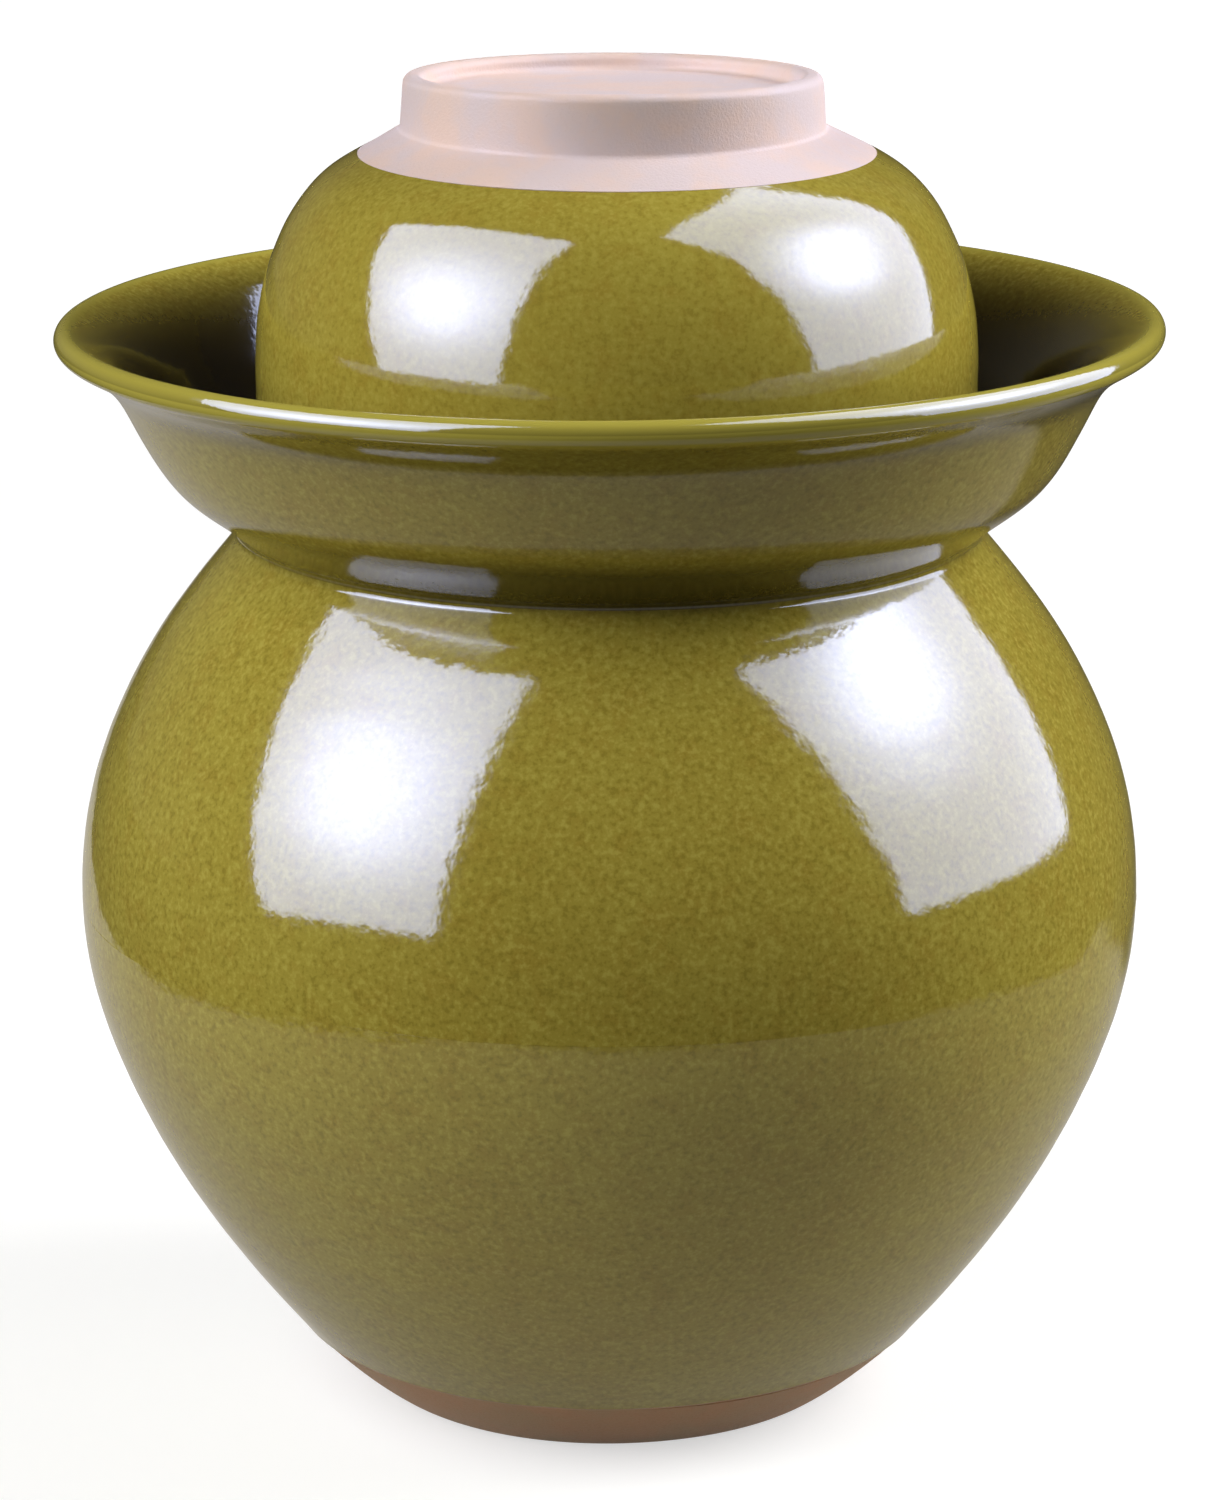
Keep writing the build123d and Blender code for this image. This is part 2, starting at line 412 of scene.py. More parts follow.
def wheel_tree():
    """The tree that turns an outline into a thrown piece."""
    tree = bpy.data.node_groups.new("turned on the wheel", "GeometryNodeTree")
    given = inputs_of(tree, wheel_inputs)
    tree.interface.new_socket("Piece", in_out="OUTPUT", socket_type="NodeSocketGeometry")

    across = calc(tree, "ADD", given["Steps Around"], 1)
    grid = put(tree, "GeometryNodeMeshGrid", 1, 1, across, given["Outline Rows"]).outputs[0]
    flat = put(tree, "ShaderNodeSeparateXYZ", put(tree, "GeometryNodeInputPosition").outputs[0]).outputs
    angle = calc(tree, "MULTIPLY", calc(tree, "ADD", flat["X"], 0.5), math.tau)
    last = calc(tree, "SUBTRACT", given["Outline Rows"], 1)
    row = calc(tree, "ROUND", calc(tree, "MULTIPLY", calc(tree, "ADD", flat["Y"], 0.5), last))

    def look_up(value, kind):
        return put(tree, "GeometryNodeSampleIndex", given["Outline"], value, row, data_type=kind).outputs[0]

    def carried(name, kind="FLOAT"):
        stored = put(tree, "GeometryNodeInputNamedAttribute", name, data_type=kind)
        return look_up(stored.outputs[0], kind)

    section = put(tree, "ShaderNodeSeparateXYZ",
                  look_up(put(tree, "GeometryNodeInputPosition").outputs[0], "FLOAT_VECTOR")).outputs
    way = put(tree, "ShaderNodeSeparateXYZ", carried("outward", "FLOAT_VECTOR")).outputs
    cosine, sine = calc(tree, "COSINE", angle), calc(tree, "SINE", angle)

    def around(radius, height):
        return put(tree, "ShaderNodeCombineXYZ", calc(tree, "MULTIPLY", radius, cosine),
                   calc(tree, "MULTIPLY", radius, sine), height).outputs[0]

    thrown, outward = around(section["X"], section["Z"]), around(way["X"], way["Z"])

    def noise(scale, detail=1.0):
        node = put(tree, "ShaderNodeTexNoise", thrown, given["Seed"], scale, detail, noise_dimensions="4D")
        return calc(tree, "SUBTRACT", node.outputs[0], 0.5)

    hands = marks_of_hands(tree, given, noise, angle, section["Z"])
    reach, bead = glaze_border(tree, given, noise, carried("border"), cosine)
    moved = put(tree, "ShaderNodeVectorMath", outward, operation="SCALE")
    free = calc(tree, "MULTIPLY", hands, carried("free"))
    tree.links.new(calc(tree, "ADD", free, bead), moved.inputs["Scale"])
    shaped = put(tree, "ShaderNodeVectorMath", thrown, moved.outputs[0], operation="ADD").outputs[0]
    placed = set_down(tree, given, shaped, section["Z"])

    # Painted shade: the stored hollow is faded by the square of the cosine, so it is full at the front and
    # back of the jar and lightest at its sides.
    swing = calc(tree, "MULTIPLY", calc(tree, "MULTIPLY", cosine, cosine), given["Pool Swing"])
    hollow = calc(tree, "MULTIPLY", carried("hollow"), calc(tree, "SUBTRACT", 1, swing))
    pooled = calc(tree, "MAXIMUM", carried("pooled"), hollow)

    piece = grid
    for name, value in (("reach", reach), ("thin", carried("thin")), ("pooled", pooled)):
        stored = put(tree, "GeometryNodeStoreNamedAttribute", piece, True, name, value, data_type="FLOAT")
        piece = stored.outputs[0]
    piece = put(tree, "GeometryNodeSetPosition", piece, True, placed).outputs[0]
    piece = put(tree, "GeometryNodeMergeByDistance", piece, True, weld).outputs[0]
    piece = put(tree, "GeometryNodeSetShadeSmooth", piece).outputs[0]
    piece = put(tree, "GeometryNodeRealizeInstances", piece).outputs[0]
    piece = put(tree, "GeometryNodeSetMaterial", piece, True, given["Finish"]).outputs[0]
    put(tree, "NodeGroupOutput", piece)
    return tree


wheel = wheel_tree()
print("the wheel has", len(wheel.nodes), "nodes")

# %% [markdown]
# ## Glaze
#
# The olive of this glaze is iron in glass. It isn't one colour: fine specks of it crystallise, it
# drifts between green and brown from one hand's width to the next, it is yellow where it is thin and
# nearly black brown where it is deep. The same nearly black brown also stands as painted shade in
# the channel, in the crease and under the dish. Its skin is glass, not quite level, so a lamp's
# reflection has a frayed edge. One node group makes these, and a piece with fainter specks sets its
# own colours.
#
# Four noises mix the colours. Each range below reads: noise from, noise to, share from, share to.

# %% Glaze as a node group
drift_share = 0.35, 0.7, 0, 0.35
blotch_share = 0.45, 0.7, 0, 0.35
light_share = 0.5, 0.3, 0, 0.45
speck_share = 0.5, 0.7, 0, 0.45
fine_skin, broad_skin, broad_weight = 1.3 * mm, 5 * mm, 2.5


def group_of(name, sockets, results):
    """An empty shader node group with named inputs and outputs, and the node that hands the inputs on."""
    tree = bpy.data.node_groups.new(name, "ShaderNodeTree")
    given = inputs_of(tree, sockets)
    for result, kind in results:
        tree.interface.new_socket(result, in_out="OUTPUT", socket_type="NodeSocket" + kind)
    return tree, given


def shader_noise(tree, place, size, detail=2.0, roughness=0.5):
    """Noise with features of a size in metres."""
    scale = calc(tree, "DIVIDE", 1.0, size)
    return put(tree, "ShaderNodeTexNoise", place, scale, detail, roughness).outputs[0]


def blend(tree, share, first, second):
    """A colour between two others."""
    return put(tree, "ShaderNodeMix", share, first, second, data_type="RGBA", clamp_factor=True).outputs[2]


def glaze_group():
    """Colour and skin of a speckled glaze, whose deep colour also serves as painted shade."""
    tree, given = group_of("speckled glaze", (
        ("Place", "Vector", (0, 0, 0)),
        ("Full Colour", "Color", (0.30, 0.24, 0.034, 1)),
        ("Brown Colour", "Color", (0.27, 0.18, 0.022, 1)),
        ("Speck Colour", "Color", (0.16, 0.12, 0.012, 1)),
        ("Thin Colour", "Color", (0.36, 0.31, 0.05, 1)),
        ("Light Colour", "Color", (0.46, 0.40, 0.08, 1)),
        ("Deep Colour", "Color", (0.022, 0.015, 0.003, 1)),
        ("Thin", "Float", 0.0),
        ("Deep", "Float", 0.0),
        ("Speck Size", "Float", 1.1 * mm),
        ("Blotch Size", "Float", 5 * mm),
        ("Drift Size", "Float", 45 * mm),
    ), (("Colour", "Color"), ("Height", "Float")))
    specks = shader_noise(tree, given["Place"], given["Speck Size"], detail=2, roughness=0.6)
    blotches = shader_noise(tree, given["Place"], given["Blotch Size"], detail=3, roughness=0.6)
    drift = shader_noise(tree, given["Place"], given["Drift Size"], detail=3, roughness=0.55)
    colour = blend(tree, ease(tree, drift, *drift_share), given["Full Colour"], given["Thin Colour"])
    colour = blend(tree, ease(tree, blotches, *blotch_share), colour, given["Brown Colour"])
    colour = blend(tree, ease(tree, specks, *light_share), colour, given["Light Colour"])
    colour = blend(tree, ease(tree, specks, *speck_share), colour, given["Speck Colour"])
    colour = blend(tree, given["Thin"], colour, given["Thin Colour"])
    # The deep colour: pooled glaze, and painted shade in the channel, the crease and under the dish.
    colour = blend(tree, given["Deep"], colour, given["Deep Colour"])
    fine = shader_noise(tree, given["Place"], fine_skin, detail=1)
    broad = shader_noise(tree, given["Place"], broad_skin, detail=1)
    height = calc(tree, "ADD", fine, calc(tree, "MULTIPLY", broad, broad_weight))
    put(tree, "NodeGroupOutput", colour, height)
    return tree


speckled_glaze = glaze_group()
print("node group:", speckled_glaze.name)

# %% [markdown]
# ## Bare clay
#
# Where there is no glaze the fired clay shows: matte, a little gritty, pale pink on the lid. The foot is
# the same clay, set to a darker reddish brown that paints shade into it. Its grain is sand, its broad
# patches are uneven fire. The ranges read as those of the glaze do, and where the grain stands up the
# clay is rougher.

# %% Clay as a node group
patch_share = 0.35, 0.65
grit_share = 0.58, 0.8, 0, 0.5
grain_roughness = 0.2, 0.8, 0.42, 0.6


def clay_group():
    """Colour, roughness and grain of bare fired clay."""
    tree, given = group_of("bare fired clay", (
        ("Place", "Vector", (0, 0, 0)),
        ("Clay Colour", "Color", (0.7, 0.57, 0.51, 1)),
        ("Warm Colour", "Color", (0.7, 0.5, 0.4, 1)),
        ("Grit Colour", "Color", (0.4, 0.3, 0.25, 1)),
        ("Grain Size", "Float", 0.5 * mm),
        ("Patch Size", "Float", 14 * mm),
    ), (("Colour", "Color"), ("Roughness", "Float"), ("Height", "Float")))
    patch = shader_noise(tree, given["Place"], given["Patch Size"], detail=4, roughness=0.6)
    grain = shader_noise(tree, given["Place"], given["Grain Size"], detail=3, roughness=0.7)
    colour = blend(tree, ease(tree, patch, *patch_share), given["Clay Colour"], given["Warm Colour"])
    colour = blend(tree, ease(tree, grain, *grit_share), colour, given["Grit Colour"])
    put(tree, "NodeGroupOutput", colour, ease(tree, grain, *grain_roughness), grain)
    return tree


bare_clay = clay_group()
print("node group:", bare_clay.name)

# %% [markdown]
# ## Finishes
#
# A glazed piece holds both groups: glaze, and the strip of clay beside its border. The wheel stored
# how far each point lies above the border, so a ragged line drawn at zero is the edge of the glaze.
# The Principled shader stays in the material itself, and the groups only feed it.

# %% Helpers for finishes


def attribute(tree, name):
    """A value that the wheel stored on the mesh."""
    return put(tree, "ShaderNodeAttribute", attribute_name=name, attribute_type="GEOMETRY").outputs["Fac"]


def place_group(tree, group, values):
    """A node group in a material, with its own values."""
    node = put(tree, "ShaderNodeGroup", node_tree=group)
    for name, value in values.items():
        if isinstance(value, bpy.types.NodeSocket):
            tree.links.new(value, node.inputs[name])
        else:
            node.inputs[name].default_value = (*value, 1) if isinstance(value, tuple) else value
    return node.outputs


def new_finish(name):
    """A material with a Principled shader, and the Object coordinates that its patterns follow."""
    material = bpy.data.materials.new(name)
    material.use_nodes = True
    tree = material.node_tree
    place = put(tree, "ShaderNodeTexCoord").outputs["Object"]
    return material, tree, tree.nodes["Principled BSDF"], place


# %% [markdown]
# ### The four finishes
#
# The glaze is coloured glass, so it is nearly mirror smooth, with glass's own refraction and a skin
# that is uneven by a hundredth of a millimetre or two. The clay is rough, grainy and hardly shines.
# Where they meet, a fine noise frays the border, as glaze clings to one grain and not to the next.

# %% Finishes
clay_colours = {
    # The foot is the same clay as the lid, with its colour set darker: painted shade.
    "foot_clay": {
        "Clay Colour": (0.40, 0.25, 0.13),
        "Warm Colour": (0.44, 0.24, 0.12),
        "Grit Colour": (0.2, 0.12, 0.08),
    },
    "lid_clay": {
        "Clay Colour": (0.59, 0.49, 0.48),
        "Warm Colour": (0.65, 0.49, 0.42),
        "Grit Colour": (0.5, 0.38, 0.34),
    },
}
lid_specks = {"Light Colour": (0.40, 0.34, 0.065), "Speck Colour": (0.20, 0.15, 0.018)}
clay_bump, clay_grit_height = 0.6, 0.15 * mm
clay_sheen = 0.3
glaze_bump, glaze_skin_height = 1.0, 0.016 * mm
glaze_roughness = 0.08
glaze_ior = 1.55
fray_size, fray_width = 1.2 * mm, 0.5 * mm
border_from, border_to = -0.05 * mm, 0.12 * mm


def clay_finish(name, colours):
    """The finish of a piece that is all bare clay."""
    material, tree, shader, place = new_finish(name)
    clay = place_group(tree, bare_clay, {"Place": place, **colours})
    bump = put(tree, "ShaderNodeBump", clay_bump, clay_grit_height)
    tree.links.new(clay["Height"], bump.inputs["Height"])
    tree.links.new(clay["Colour"], shader.inputs["Base Color"])
    tree.links.new(clay["Roughness"], shader.inputs["Roughness"])
    tree.links.new(bump.outputs[0], shader.inputs["Normal"])
    shader.inputs["Specular IOR Level"].default_value = clay_sheen
    return material


def glaze_finish(name, clay, **colours):
    """The finish of a glazed piece, with bare clay beyond the border of its glaze."""
    material, tree, shader, place = new_finish(name)
    glaze = place_group(tree, speckled_glaze, {
        "Place": place, "Thin": attribute(tree, "thin"), "Deep": attribute(tree, "pooled"), **colours})
    clay = place_group(tree, bare_clay, {"Place": place, **clay_colours[clay]})
    ragged = calc(tree, "SUBTRACT", shader_noise(tree, place, fray_size), 0.5)
    ragged = calc(tree, "MULTIPLY", ragged, fray_width)
    cover = ease(tree, calc(tree, "ADD", attribute(tree, "reach"), ragged), border_from, border_to)
    tree.links.new(blend(tree, cover, clay["Colour"], glaze["Colour"]), shader.inputs["Base Color"])
    rough = put(tree, "ShaderNodeMix", cover, clay["Roughness"], glaze_roughness, data_type="FLOAT")
    tree.links.new(rough.outputs[0], shader.inputs["Roughness"])
    shader.inputs["IOR"].default_value = glaze_ior
    bump = put(tree, "ShaderNodeBump", glaze_bump, glaze_skin_height)
    tree.links.new(glaze["Height"], bump.inputs["Height"])
    tree.links.new(bump.outputs[0], shader.inputs["Normal"])
    return material


finishes = {
    "jar glaze": glaze_finish("jar glaze", "foot_clay"),
    "lid glaze": glaze_finish("lid glaze", "lid_clay", **lid_specks),
    "foot clay": clay_finish("foot clay", clay_colours["foot_clay"]),
    "lid clay": clay_finish("lid clay", clay_colours["lid_clay"]),
}
print("finishes:", list(finishes))

# %% [markdown]
# ## Where the glaze is thin, where it is deep, and where shade is painted
#
# The wheel reads the outline from a wire, a row of points with values stored on them. A sharp outward
# bend makes the glaze thin. A sharp inward bend makes it deep. The crease and the inside of the
# channel take the deep colour as pooled glaze and as painted shade, the channel more the deeper it
# goes. Low on the outside of the dish and in a stripe below the lip the dark colour is painted shade
# only. The crease, the underside and the stripe are kept apart as `hollow`, because the wheel fades
# this painted shade towards the sides of the jar, where the lamps reach.

# %% Outline wires
thin_bend = 0.06 / mm, 0.3 / mm
deep_bend = 0.04 / mm, 0.25 / mm
# Painted shade: in the crease, where it is also pooled glaze, under the dish, in a stripe below the lip, and
# in the channel, darker with depth.
crease_dark = {"water_channel": 1.6 * mm, "shoulder": 0.7 * mm}
crease_reach = 6 * mm
under_dark = 0.86
under_fade = 19 * mm, 12 * mm
lip_dark = 0.45
lip_from = 186.5 * mm, 189 * mm
lip_to = 194 * mm, 193 * mm
upward_least = 0.1
channel_inside = 45 * mm
channel_start = 0.5 * mm
channel_fade = 3.3 * mm
crease_corner = max(run[-1][0] for run in outlines["shoulder"] if abs(run[-1][1] - crease_height) < weld)


def eased(values, start, end):
    """Values eased from 0 to 1 between start and end."""
    t = np.clip((values - start) / (end - start), 0, 1)
    return t * t * (3 - 2 * t)


def channel_glaze(outline, crease):
    """How dark the channel's inside is, as pooled glaze and painted shade, and the painted shade under the
    dish and below the lip.
    """
    radius, height = outline["place"].T
    inside = (outline["outward"][:, 1] > upward_least) & (radius > channel_inside)
    depth = np.maximum(height.max() - channel_start - height, 0)
    stripe = lip_dark * eased(height, *lip_from) * eased(height, *lip_to)
    under = under_dark * eased(crease, *under_fade) + stripe
    return np.where(inside, 1 - np.exp(-depth / channel_fade), 0), np.where(inside, 0, under)


def outline_wire(name):
    """The outline as a wire with its values stored on it."""
    outline = dense[name]
    radius, height = outline["place"].T
    none = np.zeros(len(radius))
    crease = np.hypot(radius - crease_corner, height - crease_height)
    # pooled: glaze pooled at inward bends, with painted shade inside the channel. hollow: painted shade, in
    # the crease together with pooled glaze.
    values = {
        "free": outline["free"],
        "border": outline["border"],
        "thin": eased(outline["bend"], *thin_bend),
        "pooled": eased(-outline["bend"], *deep_bend) * (crease > crease_reach),
        "hollow": np.exp(-crease / crease_dark[name]) if name in crease_dark else none,
    }
    if name == "water_channel":
        inside, under = channel_glaze(outline, crease)
        values["pooled"] = np.maximum(values["pooled"], inside)
        values["hollow"] = np.maximum(values["hollow"], under)
    wire = bpy.data.meshes.new(name + "_outline")
    rows = np.column_stack([radius, none, height])
    wire.from_pydata(rows.tolist(), [(i, i + 1) for i in range(len(rows) - 1)], [])
    ways = np.column_stack([outline["outward"][:, 0], none, outline["outward"][:, 1]])
    wire.attributes.new("outward", "FLOAT_VECTOR", "POINT").data.foreach_set("vector", ways.ravel())
    for key, column in values.items():
        wire.attributes.new(key, "FLOAT", "POINT").data.foreach_set("value", column)
    return wire


print("the crease lies", round(crease_corner / mm, 1), "mm from the axis")

# %% [markdown]
# ## Turning the pieces
#
# Now each outline goes on the wheel. The piece that comes off is turned into a plain mesh, its real
# corners are marked sharp, and it takes the place of its solid, on the same body.

# %% Pieces
sharp_turn = 17


def turn_piece(name, body, slot, finish, **hand):
    """A thrown piece made from a node's outline, in that node's place."""
    potter = bpy.data.objects.new(name + "_on_the_wheel", outline_wire(name))
    bpy.context.scene.collection.objects.link(potter)
    modifier = potter.modifiers.new("wheel", "NODES")
    modifier.node_group = wheel
    values = {"Outline Rows": len(dense[name]["place"]), "Finish": finishes[finish], **hand}
    for item in wheel.interface.items_tree:
        if item.in_out == "INPUT" and item.name in values:
            modifier[item.identifier] = values[item.name]
    mesh = bpy.data.meshes.new_from_object(potter.evaluated_get(bpy.context.evaluated_depsgraph_get()))
    bpy.data.objects.remove(potter)
    piece = bpy.data.objects.new("thrown_" + name, mesh)
    bpy.context.scene.collection.objects.link(piece)
    mesh.set_sharp_from_angle(angle=math.radians(sharp_turn))
    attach(piece, body)
    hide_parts(name)
    print(piece.name, "has", len(mesh.vertices), "points and", len(mesh.polygons), "faces")


even = {"Unevenness": 0.5 * mm, "Ring Depth": 0.03 * mm, "Ring Spacing": 9 * mm}
jar_border = {"Bead Height": 0.25 * mm, "Border Wave": 1.2 * mm}
lid_border = {"Bead Height": 0.25 * mm, "Border Wave": 0.8 * mm, "Border Slant": 1.3 * mm}
# Share by which the painted shade in the crease and under the dish fades at the sides of the jar.
pool = {"Pool Swing": 0.75}
jar_rim = {"Lean": (0.008, 0, 0), "Lean From": 172 * mm, "Lean To": 198 * mm}
lid_place = {"Shift Below": (1.3 * mm, 0, 0), "Shift Above": (0.6 * mm, 0, 0), "Seed": 4.0,
             "Shift From": 227 * mm, "Shift To": 232 * mm}
ring_lean = {"Lean": (0, -0.031, 0), "Lean From": 231 * mm, "Lean To": 241 * mm}

turn_piece("jar_foot", "jar", "foot_clay", "foot clay", **even)
turn_piece("lower_belly", "jar", "olive_glaze", "jar glaze", **even, **jar_border)
turn_piece("shoulder", "jar", "olive_glaze", "jar glaze", **even, **pool)
turn_piece("water_channel", "jar", "olive_glaze", "jar glaze", **even, **jar_rim, **pool)
turn_piece("neck", "jar", "olive_glaze", "jar glaze", **even)
turn_piece("lid_bowl", "lid", "olive_glaze", "lid glaze", **even, **lid_place, **lid_border)
turn_piece("lid_ring", "lid", "lid_clay", "lid clay", **even, **lid_place, **ring_lean)

# %% [markdown]
# ## The table
#
# The jar stands on a pale table in a studio that is otherwise dark. The camera sees the table and
# the background as white. The glaze sees more: the near table, pale, in its lower half, and dark room
# in its upper half. So the floor's material asks what kind of ray has met it. To the camera it is
# white with the jar's shadow on it. To the gloss it is a table with rounded corners that glows with
# painted light instead of being lit: dimmer to the right and further back, with a painted shadow of
# the jar in its back right corner. To light that bounces it is plain and pale.

# %% Floor
table_middle = (-0.005, 0.055), (-0.02, 0.8)
table_round = 0.30
table_edge = 0.006
# Painted light and shadow on the table as the gloss sees it: glow on the left and right, fall towards the
# back, and a painted shadow of the jar at the back right.
table_glow = 0.64, 0.42
table_fall = 0.1, 0.9, 1, 0.6
shade_right = 0.12, 0.20
shade_back = 0.17, 0.22
shade_dark = 0.85
table_colour = (1, 0.95, 0.87, 1)
white = (1, 1, 1, 1)
table_pale = 0.38
studio_dark = 0.035
floor_white = 0.3, 1.6, 0.6, 1.0
floor_grey = (0.5, 0.5, 0.5, 1)
floor_radius, floor_corners = 7, 96


def on_table(tree, place):
    """One on the table with its rounded corners, zero past its edge."""
    past = []
    for axis, (low, high) in zip("XY", table_middle):
        nearest = put(tree, "ShaderNodeClamp", place[axis], low, high).outputs[0]
        past.append(calc(tree, "POWER", calc(tree, "SUBTRACT", place[axis], nearest), 2))
    past = calc(tree, "SQRT", calc(tree, "ADD", *past))
    return ease(tree, past, table_round + table_edge, table_round - table_edge)


def table_light(tree, place):
    """How bright the table glows to the gloss: painted light, dimmer to the right and further back, with a
    painted shadow of the jar at its back right.
    """
    glow = calc(tree, "MULTIPLY", ease(tree, place["X"], -table_round, table_round, *table_glow),
                ease(tree, place["Y"], *table_fall))
    shade = calc(tree, "MULTIPLY", ease(tree, place["X"], *shade_right),
                 ease(tree, place["Y"], *shade_back, 0, shade_dark))
    return calc(tree, "MULTIPLY", glow, calc(tree, "SUBTRACT", 1, shade))


def floor_finish():
    """White to the camera with the jar's shadow on it, pale near the jar and dark beyond in the gloss."""
    material = bpy.data.materials.new("pale table")
    material.use_nodes = True
    tree = material.node_tree
    tree.nodes.remove(tree.nodes["Principled BSDF"])
    output = tree.nodes["Material Output"]
    rays = put(tree, "ShaderNodeLightPath").outputs
    spot = put(tree, "ShaderNodeNewGeometry").outputs["Position"]
    place = put(tree, "ShaderNodeSeparateXYZ", spot).outputs
    inside, glow = on_table(tree, place), table_light(tree, place)
    away = put(tree, "ShaderNodeVectorMath", spot, operation="LENGTH").outputs["Value"]
    seen = put(tree, "ShaderNodeEmission", white, ease(tree, away, *floor_white)).outputs[0]
    lit = put(tree, "ShaderNodeBsdfDiffuse", floor_grey).outputs[0]
    table = put(tree, "ShaderNodeAddShader", seen, lit).outputs[0]
    beyond = (studio_dark, studio_dark, studio_dark, 1)
    pale = blend(tree, inside, beyond, (*(table_pale * c for c in table_colour[:3]), 1))
    plain = put(tree, "ShaderNodeBsdfDiffuse", pale).outputs[0]
    level = put(tree, "ShaderNodeMix", inside, studio_dark, glow, data_type="FLOAT").outputs[0]
    gloss = put(tree, "ShaderNodeEmission", table_colour, level).outputs[0]
    shader = put(tree, "ShaderNodeMixShader", rays["Is Camera Ray"], plain, table).outputs[0]
    shader = put(tree, "ShaderNodeMixShader", rays["Is Glossy Ray"], shader, gloss).outputs[0]
    tree.links.new(shader, output.inputs["Surface"])
    return material


floor_mesh = bpy.data.meshes.new("floor")
turns = np.linspace(0, math.tau, floor_corners, endpoint=False)
rim = [(floor_radius * math.cos(turn), floor_radius * math.sin(turn), 0) for turn in turns]
floor_mesh.from_pydata(rim, [], [tuple(range(len(rim)))])
floor_mesh.materials.append(floor_finish())
floor = bpy.data.objects.new("floor", floor_mesh)
bpy.context.scene.collection.objects.link(floor)
print("the floor reaches", floor_radius, "m from the jar")

# %% [markdown]
# ## Two soft boxes
#
# Two large soft boxes hang to the left and right of the jar. Each is made in two parts: a glowing
# panel, which only the gloss sees, and a lamp, which lights the jar and shows in no reflection. So
# the panel can hang where its reflections lie well on belly and lid, and be as bright as a real soft
# box is beside a white table: brightest over its bulb, bluer than the clay. The lamp stands further
# round to the side, where it shades the belly softly from there, and keeps to a level at which a
# colour looks as it was mixed.

# %% Parts of a soft box
panel_colour = (0.62, 0.69, 1.0, 1)
corner_round = 0.06
soft_edge = 0.04
glow_flatness = 1.25
jar_middle = Vector((0, 0, 0.13))
lamp_distance = 1.1


def sides_facing(azimuth, elevation, roll, width, height):
    """The two sides of a rectangle that faces the jar from a direction."""
    azimuth, elevation, roll = map(math.radians, (azimuth, elevation, roll))
    toward = Vector((math.cos(elevation) * math.sin(azimuth), -math.cos(elevation) * math.cos(azimuth),
                     math.sin(elevation)))
    side = Vector((0, 0, 1)).cross(toward).normalized()
    top = toward.cross(side)
    return ((side * math.cos(roll) + top * math.sin(roll)) * width,
            (top * math.cos(roll) - side * math.sin(roll)) * height)


def soft_lamp(name, azimuth, elevation, power, width, height):
    """A lamp that faces the jar from a direction and that no reflection shows."""
    right, up = sides_facing(azimuth, elevation, 0, 1, 1)
    lamp = bpy.data.lights.new(name, "AREA")
    lamp.shape = "RECTANGLE"
    lamp.size, lamp.size_y, lamp.energy = width, height, power
    hung = bpy.data.objects.new(name, lamp)
    toward = right.cross(up)
    turn = Matrix([right, up, toward]).transposed()
    hung.matrix_world = Matrix.Translation(jar_middle + toward * lamp_distance) @ turn.to_4x4()
    hung.visible_glossy = False
    bpy.context.scene.collection.objects.link(hung)


def panel_finish(name, place, right, up, core, core_glow, edge_glow, spread):
    """Brightest over the bulb, with rounded corners and soft edges."""
    glow = bpy.data.materials.new(name)
    glow.use_nodes = True
    glow.cycles.emission_sampling = "NONE"
    tree = glow.node_tree
    tree.nodes.remove(tree.nodes["Principled BSDF"])
    here = put(tree, "ShaderNodeNewGeometry").outputs["Position"]
    offset = put(tree, "ShaderNodeVectorMath", here, tuple(place), operation="SUBTRACT").outputs[0]
    past, away = [], []
    for side, share, flatness in ((right, core[0], 1), (up, core[1], glow_flatness)):
        along = put(tree, "ShaderNodeVectorMath", offset, tuple(side.normalized()), operation="DOT_PRODUCT")
        along = along.outputs["Value"]
        over = calc(tree, "SUBTRACT", calc(tree, "ABSOLUTE", along), side.length / 2 - corner_round)
        past.append(calc(tree, "POWER", calc(tree, "MAXIMUM", over, 0), 2))
        from_core = calc(tree, "SUBTRACT", along, (share - 0.5) * side.length)
        away.append(calc(tree, "POWER", calc(tree, "MULTIPLY", from_core, flatness / spread), 2))
    cloth = ease(tree, calc(tree, "SQRT", calc(tree, "ADD", *past)), corner_round, corner_round - soft_edge)
    bright = calc(tree, "EXPONENT", calc(tree, "MULTIPLY", calc(tree, "ADD", *away), -1))
    bright = calc(tree, "ADD", calc(tree, "MULTIPLY", bright, core_glow - edge_glow), edge_glow)
    level = put(tree, "ShaderNodeMix", cloth, studio_dark, bright, data_type="FLOAT").outputs[0]
    emission = put(tree, "ShaderNodeEmission", panel_colour, level).outputs[0]
    tree.links.new(emission, tree.nodes["Material Output"].inputs["Surface"])
    return glow


def gloss_only(name, corners, finish):
    """A flat sheet of the studio that only the gloss of the jar sees."""
    mesh = bpy.data.meshes.new(name)
    mesh.from_pydata(corners, [], [tuple(range(len(corners)))])
    mesh.materials.append(finish)
    sheet = bpy.data.objects.new(name, mesh)
    bpy.context.scene.collection.objects.link(sheet)
    for kind in ("camera", "diffuse", "transmission", "volume_scatter", "shadow"):
        setattr(sheet, "visible_" + kind, False)


def soft_panel(name, place, direction, size, **light):
    """A glowing panel with its middle at a place."""
    place = Vector(place)
    right, up = sides_facing(*direction, *size)
    corners = [place + right * a + up * b for a, b in ((-0.5, -0.5), (0.5, -0.5), (0.5, 0.5), (-0.5, 0.5))]
    gloss_only(name, corners, panel_finish(name + "_glow", place, right, up, **light))


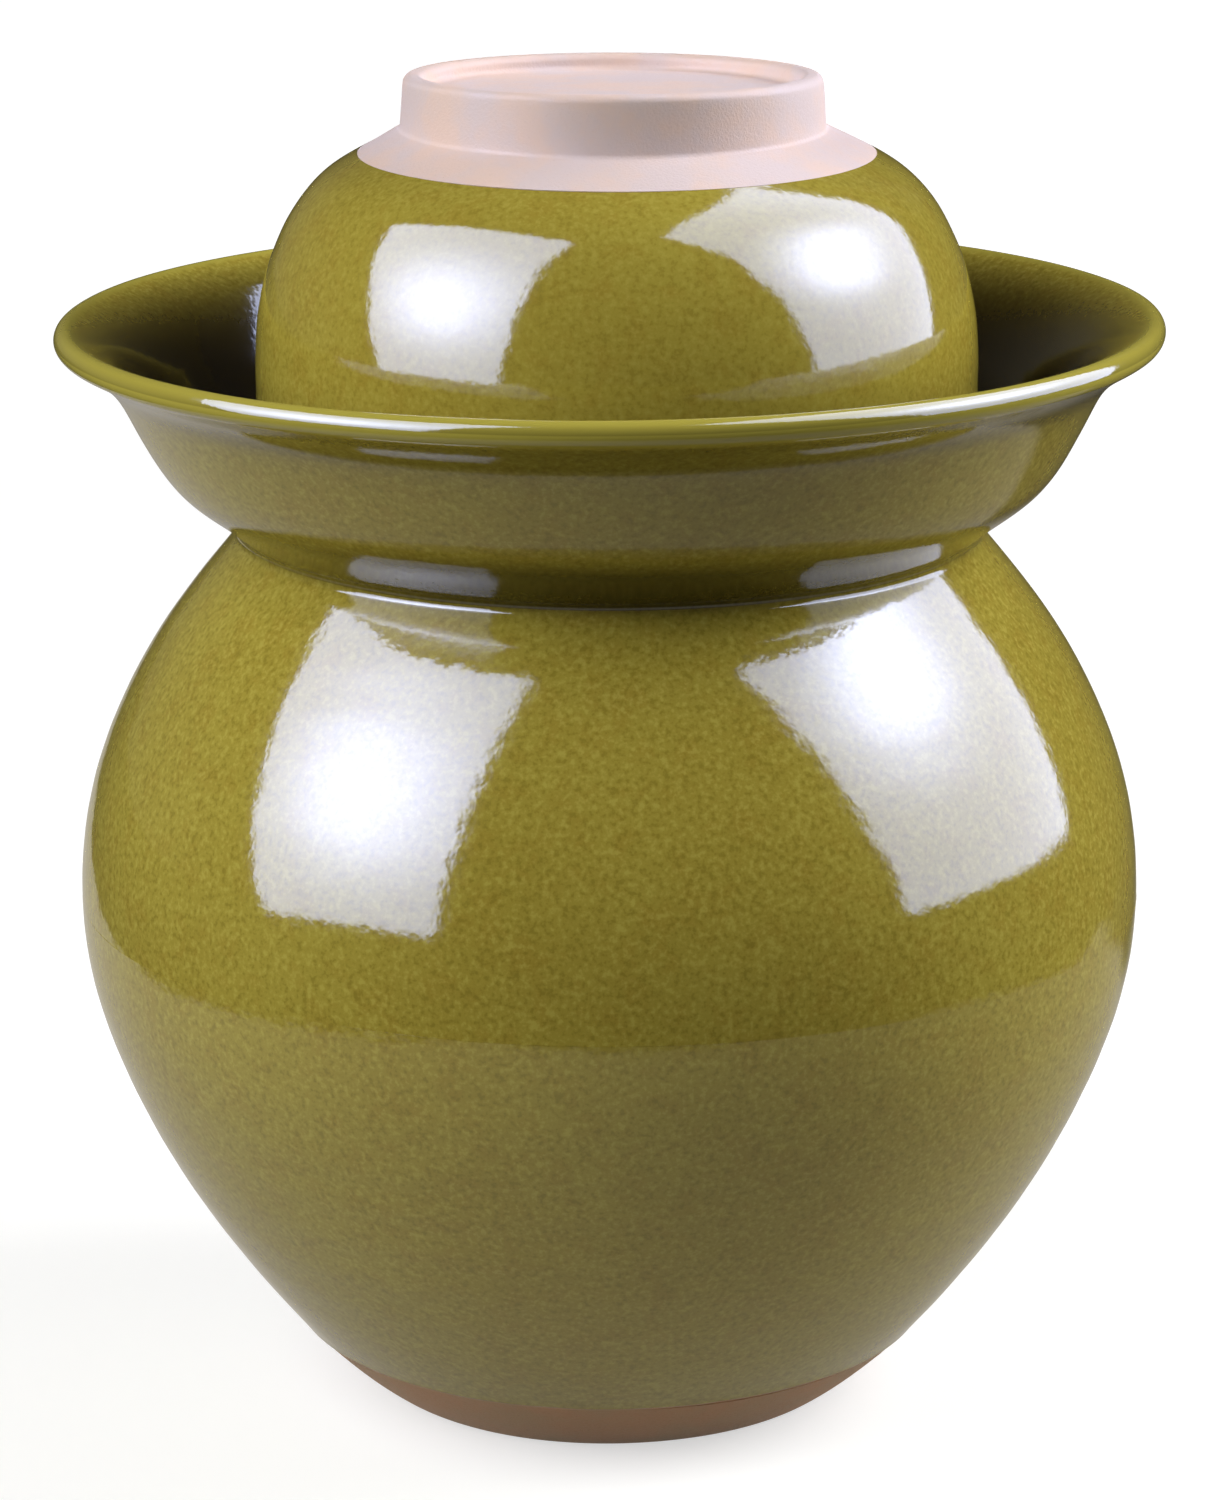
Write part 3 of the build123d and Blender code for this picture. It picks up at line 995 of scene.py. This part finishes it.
# %% [markdown]
# ### Hanging the soft boxes
#
# A panel is given by where its middle is, the direction it faces with its roll, its size, and its
# light: where the bulb lies as shares of width and height, how bright the cloth is over the bulb and
# at the edge, and how far the bright patch spreads. A lamp is given by its direction, power and size.

# %% Soft boxes
soft_panel("left_box_panel", (-0.78, -0.35, 0.60), (-49, 44.5, 6), (0.98, 1.25),
           core=(0.58, 0.49), core_glow=26, edge_glow=10, spread=0.35)
soft_panel("right_box_panel", (0.520, 0.050, 0.592), (85.2, 35, -3.5), (0.84, 1.13),
           core=(0.40, 0.46), core_glow=26, edge_glow=8.3, spread=0.20)
soft_lamp("left_lamp", -61, 35, power=13.8, width=0.7, height=0.9)
soft_lamp("right_lamp", 96, 30, power=18.0, width=0.7, height=0.9)
print("lamps:", [light.name for light in bpy.data.lights])

# %% [markdown]
# ## A dark card
#
# The channel beside the lid is a deep hollow with a glossy wall, so it would mirror the right soft
# box as a white patch. A photographer holds a dark card between the two. Ours is small and lies on
# the way from the panel to the channel only: belly and lid still mirror the whole panel.

# %% Dark card
card_x = 0.16
card_outline = (0.130, 0.262), (0.235, 0.262), (0.300, 0.505), (0.260, 0.505), (0.184, 0.405), (0.130, 0.305)
card_black = (0.02, 0.02, 0.02, 1)
black = bpy.data.materials.new("black card")
black.use_nodes = True
paint = black.node_tree.nodes["Principled BSDF"].inputs
paint["Base Color"].default_value = card_black
paint["Roughness"].default_value = 1
gloss_only("dark_card", [(card_x, y, z) for y, z in card_outline], black)
print("the dark card has", len(card_outline), "corners")

# %% [markdown]
# ## The room around it
#
# What is left is the room. The camera sees it white. The gloss sees it dark and a little warm, with a
# faint pale wall low at the back left, which brightens the left edge of the jar. Light that bounces
# gets a trace from it, so that no shadow is quite empty.

# %% World
fill = 0.02
wall_way = Vector((-0.72, 0.68, 0.12)).normalized()
wall_glow = 0.1
wall_spread = 0.72, 0.97
wall_fade = 0.55, 0.15
dark_colour = (1, 0.93, 0.7, 1)
world = bpy.data.worlds.new("studio")
bpy.context.scene.world = world
world.use_nodes = True
sky = world.node_tree
sky.nodes.clear()
rays = put(sky, "ShaderNodeLightPath").outputs
way = put(sky, "ShaderNodeTexCoord").outputs["Generated"]
toward_wall = put(sky, "ShaderNodeVectorMath", way, tuple(wall_way), operation="DOT_PRODUCT").outputs["Value"]
height = put(sky, "ShaderNodeSeparateXYZ", way).outputs["Z"]
near_wall = calc(sky, "MULTIPLY", ease(sky, toward_wall, *wall_spread), ease(sky, height, *wall_fade))
studio = calc(sky, "ADD", calc(sky, "MULTIPLY", near_wall, wall_glow), studio_dark)
level = put(sky, "ShaderNodeMix", rays["Is Glossy Ray"], fill, studio, data_type="FLOAT").outputs[0]
seen = calc(sky, "MAXIMUM", rays["Is Camera Ray"], rays["Is Transmission Ray"])
level = put(sky, "ShaderNodeMix", seen, level, 1.0, data_type="FLOAT").outputs[0]
tint = blend(sky, seen, dark_colour, white)
put(sky, "ShaderNodeOutputWorld", put(sky, "ShaderNodeBackground", tint, level).outputs[0])

bpy.context.scene.view_settings.view_transform = "Standard"
print("world:", world.name)

# %% [markdown]
# ## The last update
#
# The dressed jar must be as large as its solids. At the end the view layer is brought up to date.

# %% Update the scene
bpy.context.view_layer.update()
